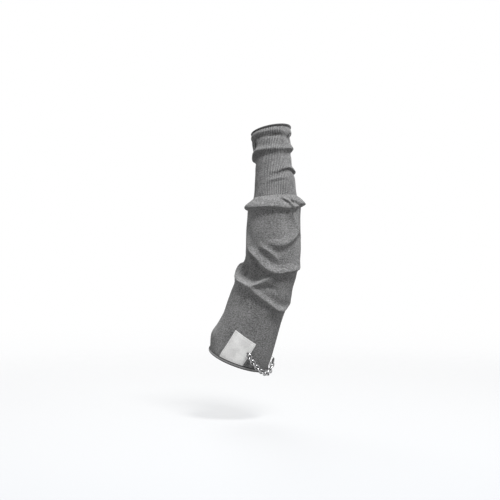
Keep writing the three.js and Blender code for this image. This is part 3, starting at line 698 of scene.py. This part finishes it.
gap = 0.3 # mm between two pieces that touch
edge = dict(
    grip=4.5, rimGrip=2.6, # mm that the band covers of the cloth, at the hem and at the wrist
    thick=0.9, columns=220,
    hemStitches=118, rimStitches=70, stitchThick=0.62, stitchLift=0.25, stitchLean=0.45,
    stitchTop=(0.05, 1.1), stitchFoot=(-0.1, -0.2), # mm out of the face, and above the far line or the rim
    hemFace=(0.27, 0.27, 0.27), hemShadeLines=(0.018, 0.018, 0.019), # the face, and the dark lines along it, painted shade at the band's far edge and round its rolled edge
    # the wrist band's face, its painted shade lines, and its thread
    rimFace=(0.03, 0.03, 0.03), rimShadeLines=(0.02, 0.02, 0.021), rimThread=(0.035, 0.035, 0.035),
    shadeLineStops=[(0.135, 1), (0.155, 0), (0.21, 0), (0.24, 1)], # place round the band, and 1 on a painted shade line
    bandFibres=1400, bandSpread=0.4, bandBump=0.0004,
    threadFibres=2200, threadSpread=0.3, threadBump=0.0002,
)


def edgeProfile(grip): # the band's section: out over the cloth, and over the cut edge
    wall, thick = sleeve["wall"], edge["thick"]
    outer, inner = gap + thick, -wall - gap - thick
    return np.array([
        (gap, -grip), (gap + 0.55 * thick, -grip - 0.3), (outer, -grip + 0.4),
        (outer + 0.1, -grip * 0.55), (outer, -0.4), (outer - 0.25, 0.6),
        (outer - 0.9, outer - 0.05), (-0.4 * wall, outer + 0.1),
        (inner + 0.9, outer - 0.05), (inner + 0.25, 0.6), (inner, -0.4), (inner - 0.1, -grip * 0.55),
        (inner, -grip + 0.4), (inner + 0.45 * thick, -grip - 0.3), (-wall - gap, -grip),
        (-wall - gap, gap), (gap, gap),
    ])


def edgePoint(turn, out, over, along, beyond): # beyond is 1 at the wrist's end and -1 at the hem
    placed = clothPoint(turn, along - beyond * np.maximum(-over, 0), out)
    up = armAt(np.full(np.shape(turn), float(along)))[1]
    return placed + up * (beyond * np.maximum(over, 0))[..., None]


def edgeBand(name, along, beyond, grip):
    profile = edgeProfile(grip)
    rows = len(profile)
    ring = np.vstack([profile, profile[:1]])

    def place(u, v):
        at = np.clip(np.round(v * rows).astype(int), 0, rows)
        return edgePoint(u - 0.5, ring[at, 0], ring[at, 1], along, beyond)

    return wrapGrid(name, edge["columns"], rows, place, closed=True)


def edgeStitches(name, along, beyond, count, grip): # each leans from the band's far line to its rim
    turn = (np.arange(count) + 0.5) / count - 0.5
    lean = edge["stitchLean"] / count

    def row(turns, place, line):
        out, over = gap + edge["thick"] + place[0], line + place[1]
        return edgePoint(turns, np.full(count, out), np.full(count, over), along, beyond)

    top = row(turn - lean, edge["stitchTop"], -grip)
    low = row(turn + lean, edge["stitchFoot"], 0)
    outward = faceNormal(turn, np.full(count, along - beyond * 2.0))
    return sewThreads(name, list(zip(top, low, outward)), edge["stitchThick"], edge["stitchLift"])


def bandMaterial(name, face, shadeLines, stitches):
    paint = Paint(name, Roughness=0.88, Sheen_Weight=0.3, Specular_IOR_Level=0.25)
    across, around, _ = paint.split(paint.place("UV"))
    fibres = paint.fibres(edge["bandFibres"])
    # painted shade: the band is dark along its far edge and round its rolled edge, and has its own tone
    # only on the face between
    onShadeLine = paint.node("ValToRGB", dict(stops=edge["shadeLineStops"]), {0: around})
    faceTone, shadeLineTone = [paint.aroundTone(fibres, tone, edge["bandSpread"]) for tone in (face, shadeLines)]
    paint.feed("Base Color", paint.mix(onShadeLine, faceTone, shadeLineTone))
    threads = ((across * stitches + around * 3) * (2 * math.pi)).math("SINE")
    paint.feed("Normal", paint.bump(threads * 0.5 + fibres, edge["bandBump"]))
    return paint.material


def threadMaterial(name, tone):
    paint = Paint(name, Roughness=0.8, Sheen_Weight=0.3, Specular_IOR_Level=0.3)
    fibres = paint.fibres(edge["threadFibres"])
    paint.feed("Base Color", paint.aroundTone(fibres, tone, edge["threadSpread"]))
    paint.feed("Normal", paint.bump(fibres, edge["threadBump"]))
    return paint.material


hemBand = edgeBand("hem_edge_band", 0, -1, edge["grip"])
hemEdging = bandMaterial("hemEdging", edge["hemFace"], edge["hemShadeLines"], edge["hemStitches"])
finishPiece(hemBand, "edging_thread", hemEdging, "hem_edge")
hemStitches = edgeStitches("hem_edge_stitches", 0, -1, edge["hemStitches"], edge["grip"])
finishPiece(hemStitches, "edging_thread", threadMaterial("hemThread", edge["hemFace"]))
rimBand = edgeBand("cuff_edge_band", sleeveLength, 1, edge["rimGrip"])
rimEdging = bandMaterial("rimEdging", edge["rimFace"], edge["rimShadeLines"], edge["rimStitches"])
finishPiece(rimBand, "edging_thread", rimEdging, "cuff_edge")
rimStitches = edgeStitches("cuff_edge_stitches", sleeveLength, 1, edge["rimStitches"], edge["rimGrip"])
finishPiece(rimStitches, "edging_thread", threadMaterial("rimThread", edge["rimThread"]))
say("edging")

# white label, sewn flat beside the hem
label = dict(
    width=45, height=56, lean=15, turn=-0.103, # as the sleeve's own sizes
    thick=0.6, columns=36, rows=42,
    above=0.45, # mm between the knit and the tape
    wave=0.35, waves=[(7.1, 3.7, 0.6), (-2.2, 8.3, 1.1)], # mm, and radians across, up and at the start
    seam=2.2, pinch=0.12, pinchReach=0.8, # mm from its edge, and how the seam draws it in
    stitchPitch=3.1, stitchShare=0.7, stitchLift=0.1, stitchThick=0.4, stitchArch=0.12,
    weave=2.2, # threads per mm
    fibreScale=700, patchScale=60, bumpDepth=0.00018,
    dark=(0.66, 0.66, 0.655), light=(0.92, 0.92, 0.91), thread=(0.42, 0.42, 0.42),
)


def labelPoint(a, b, out): # a runs across the label and b up it, from 0 to 1
    lean = math.radians(label["lean"])
    foot = edge["grip"] + 2 * gap
    girth = math.pi * sleeve["armWidth"] * bodySections[0][1]
    length = label["height"] - a * label["width"] * math.tan(lean)
    x = a * label["width"] / math.cos(lean) + b * length * math.sin(lean)
    return clothPoint(label["turn"] + x / girth, foot + b * length * math.cos(lean), out)


def labelLift(a, b): # height of the tape's face above the knit
    fromEdge = np.minimum(np.minimum(a, 1 - a) * label["width"], np.minimum(b, 1 - b) * label["height"])
    seam = np.exp(-((fromEdge - label["seam"]) / label["pinchReach"]) ** 2)
    one, two = [np.sin(a * across + b * up + start) for across, up, start in label["waves"]]
    wave = label["wave"] * (one * two + 1) * (1 - seam)
    return label["above"] + label["thick"] + wave - label["pinch"] * seam


def labelMaterial():
    paint = Paint("labelTape", Roughness=0.75, Sheen_Weight=0.2, Specular_IOR_Level=0.3)
    across, up, _ = paint.split(paint.place("UV"))
    warp = (across * (label["width"] * label["weave"] * 2 * math.pi)).math("SINE")
    weft = (up * (label["height"] * label["weave"] * 2 * math.pi)).math("SINE")
    fibres = paint.fibres(label["fibreScale"])
    tone = (fibres + paint.fibres(label["patchScale"]) - 1) * 1.5 + 0.5
    paint.feed("Base Color", paint.tone(tone, label["dark"], label["light"]))
    paint.feed("Normal", paint.bump(warp * weft * 0.5 + fibres * 0.4, label["bumpDepth"]))
    return paint.material


def onLabel(a, b, above=0): # a place on the tape's face
    return labelPoint(a, b, labelLift(a, b) + above)


labelPiece = wrapGrid("label_tape", label["columns"], label["rows"], onLabel)
thicken(labelPiece, label["thick"])
finishPiece(labelPiece, "label_cloth", labelMaterial(), "label")


def seamPlaces(): # the stitches' two ends, once round the label inside its edge
    a, b = label["seam"] / label["width"], label["seam"] / label["height"]
    corners = np.array([(a, b), (1 - a, b), (1 - a, 1 - b), (a, 1 - b), (a, b)])
    places = []
    for corner, after in zip(corners, corners[1:]):
        side = after - corner
        long = math.hypot(side[0] * label["width"], side[1] * label["height"])
        count = max(round(long / label["stitchPitch"]), 1)
        for i in range(count):
            ends = [(i + 0.5 + half * label["stitchShare"]) / count for half in (-0.5, 0.5)]
            places.append([corner + side * t for t in ends])
    return np.array(places)


starts, stops = seamPlaces().transpose(1, 2, 0)
begins = onLabel(*starts, label["stitchLift"])
finishes = onLabel(*stops, label["stitchLift"])
outwards = begins - labelPoint(*starts, 0)
outwards /= np.linalg.norm(outwards, axis=1, keepdims=True)
seamEnds = list(zip(begins, finishes, outwards))
labelStitches = sewThreads("label_stitches", seamEnds, label["stitchThick"], label["stitchArch"])
finishPiece(labelStitches, "label_cloth", threadMaterial("labelThread", label["thread"]))
say("label")

# the short metal chain that crosses the hem
chain = dict(
    links=15, length=12.2, width=9.8, wire=2.4, # as the sleeve's own sizes
    play=0.4, rollFlat=14, rollUpright=66, # degrees that every other link is turned
    sections=30, wireSides=12,
    bright=(0.72, 0.72, 0.73), innerShade=(0.05, 0.05, 0.05), # the outer side of the wire, and painted shade on its inner side, in the link's hole
    wearScale=350, unevenShade=0.6, shadeFall=1.5,
    smooth=0.16, wearRough=0.2, innerRough=0.2, # roughness, and what wear and the shaded inner side add to it
    dentScale=900, dentDepth=0.00006,
)
chainRoute = [ # turn, height, and out of the cloth as a share of the link's width
    (0.034, 0.092, 0.53), (0.055, 0.066, 0.53), (0.092, 0.036, 0.56), (0.138, 0.008, 0.66),
    (0.186, -0.006, 0.7), (0.226, 0.008, 0.66), (0.252, 0.04, 0.56), (0.266, 0.084, 0.53),
    (0.276, 0.13, 0.53),
]


def chainPlaces(): # each link's middle and directions, and the route at its two ends
    points = smoothLine(np.array(chainRoute), 20)
    line = clothPoint(points[:, 0], points[:, 1] * body["length"], points[:, 2] * chain["width"])
    lengths = np.concatenate([[0], np.cumsum(np.linalg.norm(np.diff(line, axis=0), axis=1))])

    def at(length, values):
        return np.stack([np.interp(length, lengths, values[:, i]) for i in range(values.shape[1])], -1)

    half = (chain["length"] - chain["wire"]) / 2
    pitch = 2 * half - chain["wire"] - chain["play"]
    found = []
    for i in range(chain["links"]):
        begin, finish = at(i * pitch, line), at(i * pitch + 2 * half, line)
        turn, height, _ = at(i * pitch + half, points)
        ends = [at(i * pitch, points), at(i * pitch + 2 * half, points)]
        ahead = (finish - begin) / np.linalg.norm(finish - begin)
        side = np.cross(faceNormal(turn, height * body["length"]), ahead)
        side /= np.linalg.norm(side)
        roll = math.radians(chain["rollFlat"] if i % 2 == 0 else -chain["rollUpright"])
        rolled = side * math.cos(roll) + np.cross(ahead, side) * math.sin(roll)
        found.append(dict(
            middle=(begin + finish) / 2, ends=ends,
            ahead=ahead, side=rolled, across=np.cross(rolled, ahead),
        ))
    return found


def metalMaterial():
    paint = Paint("chainMetal", Metallic=1.0)
    wear = paint.fibres(chain["wearScale"], 3)
    _, section, _ = paint.split(paint.place("UV"))
    inside = (section * (2 * math.pi)).math("COSINE") * 0.5 + 0.5 # 1 along the inner side of the wire, where shade is painted
    # painted shade: the wire darkens towards its inner side, in the link's hole, made patchy by the wear
    # noise
    innerShade = (inside + (wear - 0.5) * chain["unevenShade"]).math("MAXIMUM", 0) ** chain["shadeFall"]
    paint.feed("Base Color", paint.tone(innerShade, chain["bright"], chain["innerShade"]))
    paint.feed("Roughness", wear * chain["wearRough"] + innerShade * chain["innerRough"] + chain["smooth"])
    paint.feed("Normal", paint.bump(paint.fibres(chain["dentScale"]), chain["dentDepth"]))
    return paint.material


chainFinish = metalMaterial()
chainPlaced = chainPlaces()
straight = (chain["length"] - chain["width"]) / 2
bpy.ops.mesh.primitive_torus_add(
    major_segments=chain["sections"], minor_segments=chain["wireSides"],
    major_radius=(chain["width"] - chain["wire"]) / 2, minor_radius=chain["wire"] / 2,
)
firstLink = bpy.context.object
roundLink = coordinates(firstLink)
roundLink[:, 0] += np.sign(roundLink[:, 0]) * straight
for i, placed in enumerate(chainPlaced):
    link = bpy.data.objects.new(f"chain_link_{i + 1}_wire", firstLink.data.copy())
    bpy.context.collection.objects.link(link)
    axes = np.array([placed["ahead"], placed["side"], -placed["across"]])
    moveTo(link, (placed["middle"] + roundLink @ axes) * mm)
    finishPiece(link, "chain_metal", chainFinish, f"chain_link_{i + 1}")
bpy.data.objects.remove(firstLink)

# threads that sew the chain's two end links to the cloth
tack = dict(threads=6, pitch=0.62, reach=2.7, thick=0.6, clear=0.15, above=0.1, tone=(0.06, 0.06, 0.06))


def clothStep(turn, along, move): # the place on the cloth that lies so far away, in millimetres
    small = 0.001
    around = (facePoint(turn + small, along) - facePoint(turn - small, along)) / (2 * small)
    upward = facePoint(turn, along + 0.5) - facePoint(turn, along - 0.5)
    turnStep, alongStep = np.linalg.lstsq(np.stack([around, upward], -1), move, rcond=None)[0]
    return clothPoint(turn + turnStep, along + alongStep, tack["above"])


def tackEnds(at): # 0 for the chain's first link and -1 for its last
    placed = chainPlaced[at]
    turn, height, _ = placed["ends"][at]
    along = height * body["length"]
    outward = faceNormal(turn, along)
    side = np.cross(outward, placed["ahead"])
    side /= np.linalg.norm(side)
    reach = placed["ahead"] * tack["reach"]
    ends = []
    for i in range(tack["threads"]):
        aside = side * (i - (tack["threads"] - 1) / 2) * tack["pitch"]
        begin, finish = [clothStep(turn, along, aside + move) for move in (-reach, reach)]
        ends.append((begin, finish, outward))
    return ends


for name, at in (("first", 0), ("last", -1)):
    height = chainRoute[at][2] * chain["width"] + chain["wire"] / 2 + tack["thick"] / 2 + tack["clear"]
    threads = sewThreads(f"chain_{name}_tack", tackEnds(at), tack["thick"], height, cuts=10)
    finishPiece(threads, "edging_thread", threadMaterial(f"{name}Tack", tack["tone"]))
say("chain")

# the floor, which melts into the backdrop further out
floorPaint = Paint("paleFloor", Roughness=0.6, Base_Color=(studio["floorTone"],) * 3 + (1,))
away = floorPaint.place("Object").length()
fade = floorPaint.node("MapRange", dict(interpolation_type="SMOOTHSTEP"), {
    "Value": away, "From Min": studio["floorFadeFrom"], "From Max": studio["floorFadeTo"],
    "To Min": studio["floorClear"], "To Max": 1.0,
})
clear = floorPaint.tree.nodes.new("ShaderNodeBsdfTransparent")
melt = floorPaint.tree.nodes.new("ShaderNodeMixShader")
floorPaint.tree.links.new(fade.socket, melt.inputs[0])
floorPaint.tree.links.new(floorPaint.shader.outputs[0], melt.inputs[1])
floorPaint.tree.links.new(clear.outputs[0], melt.inputs[2])
floorPaint.tree.links.new(melt.outputs[0], floorPaint.tree.nodes["Material Output"].inputs["Surface"])
bpy.ops.mesh.primitive_plane_add(size=studio["floorSize"], location=(0.06, 0, -studio["floorDrop"] * mm))
floor = bpy.context.object
floor.name = "floor"
floor.data.materials.append(floorPaint.material)
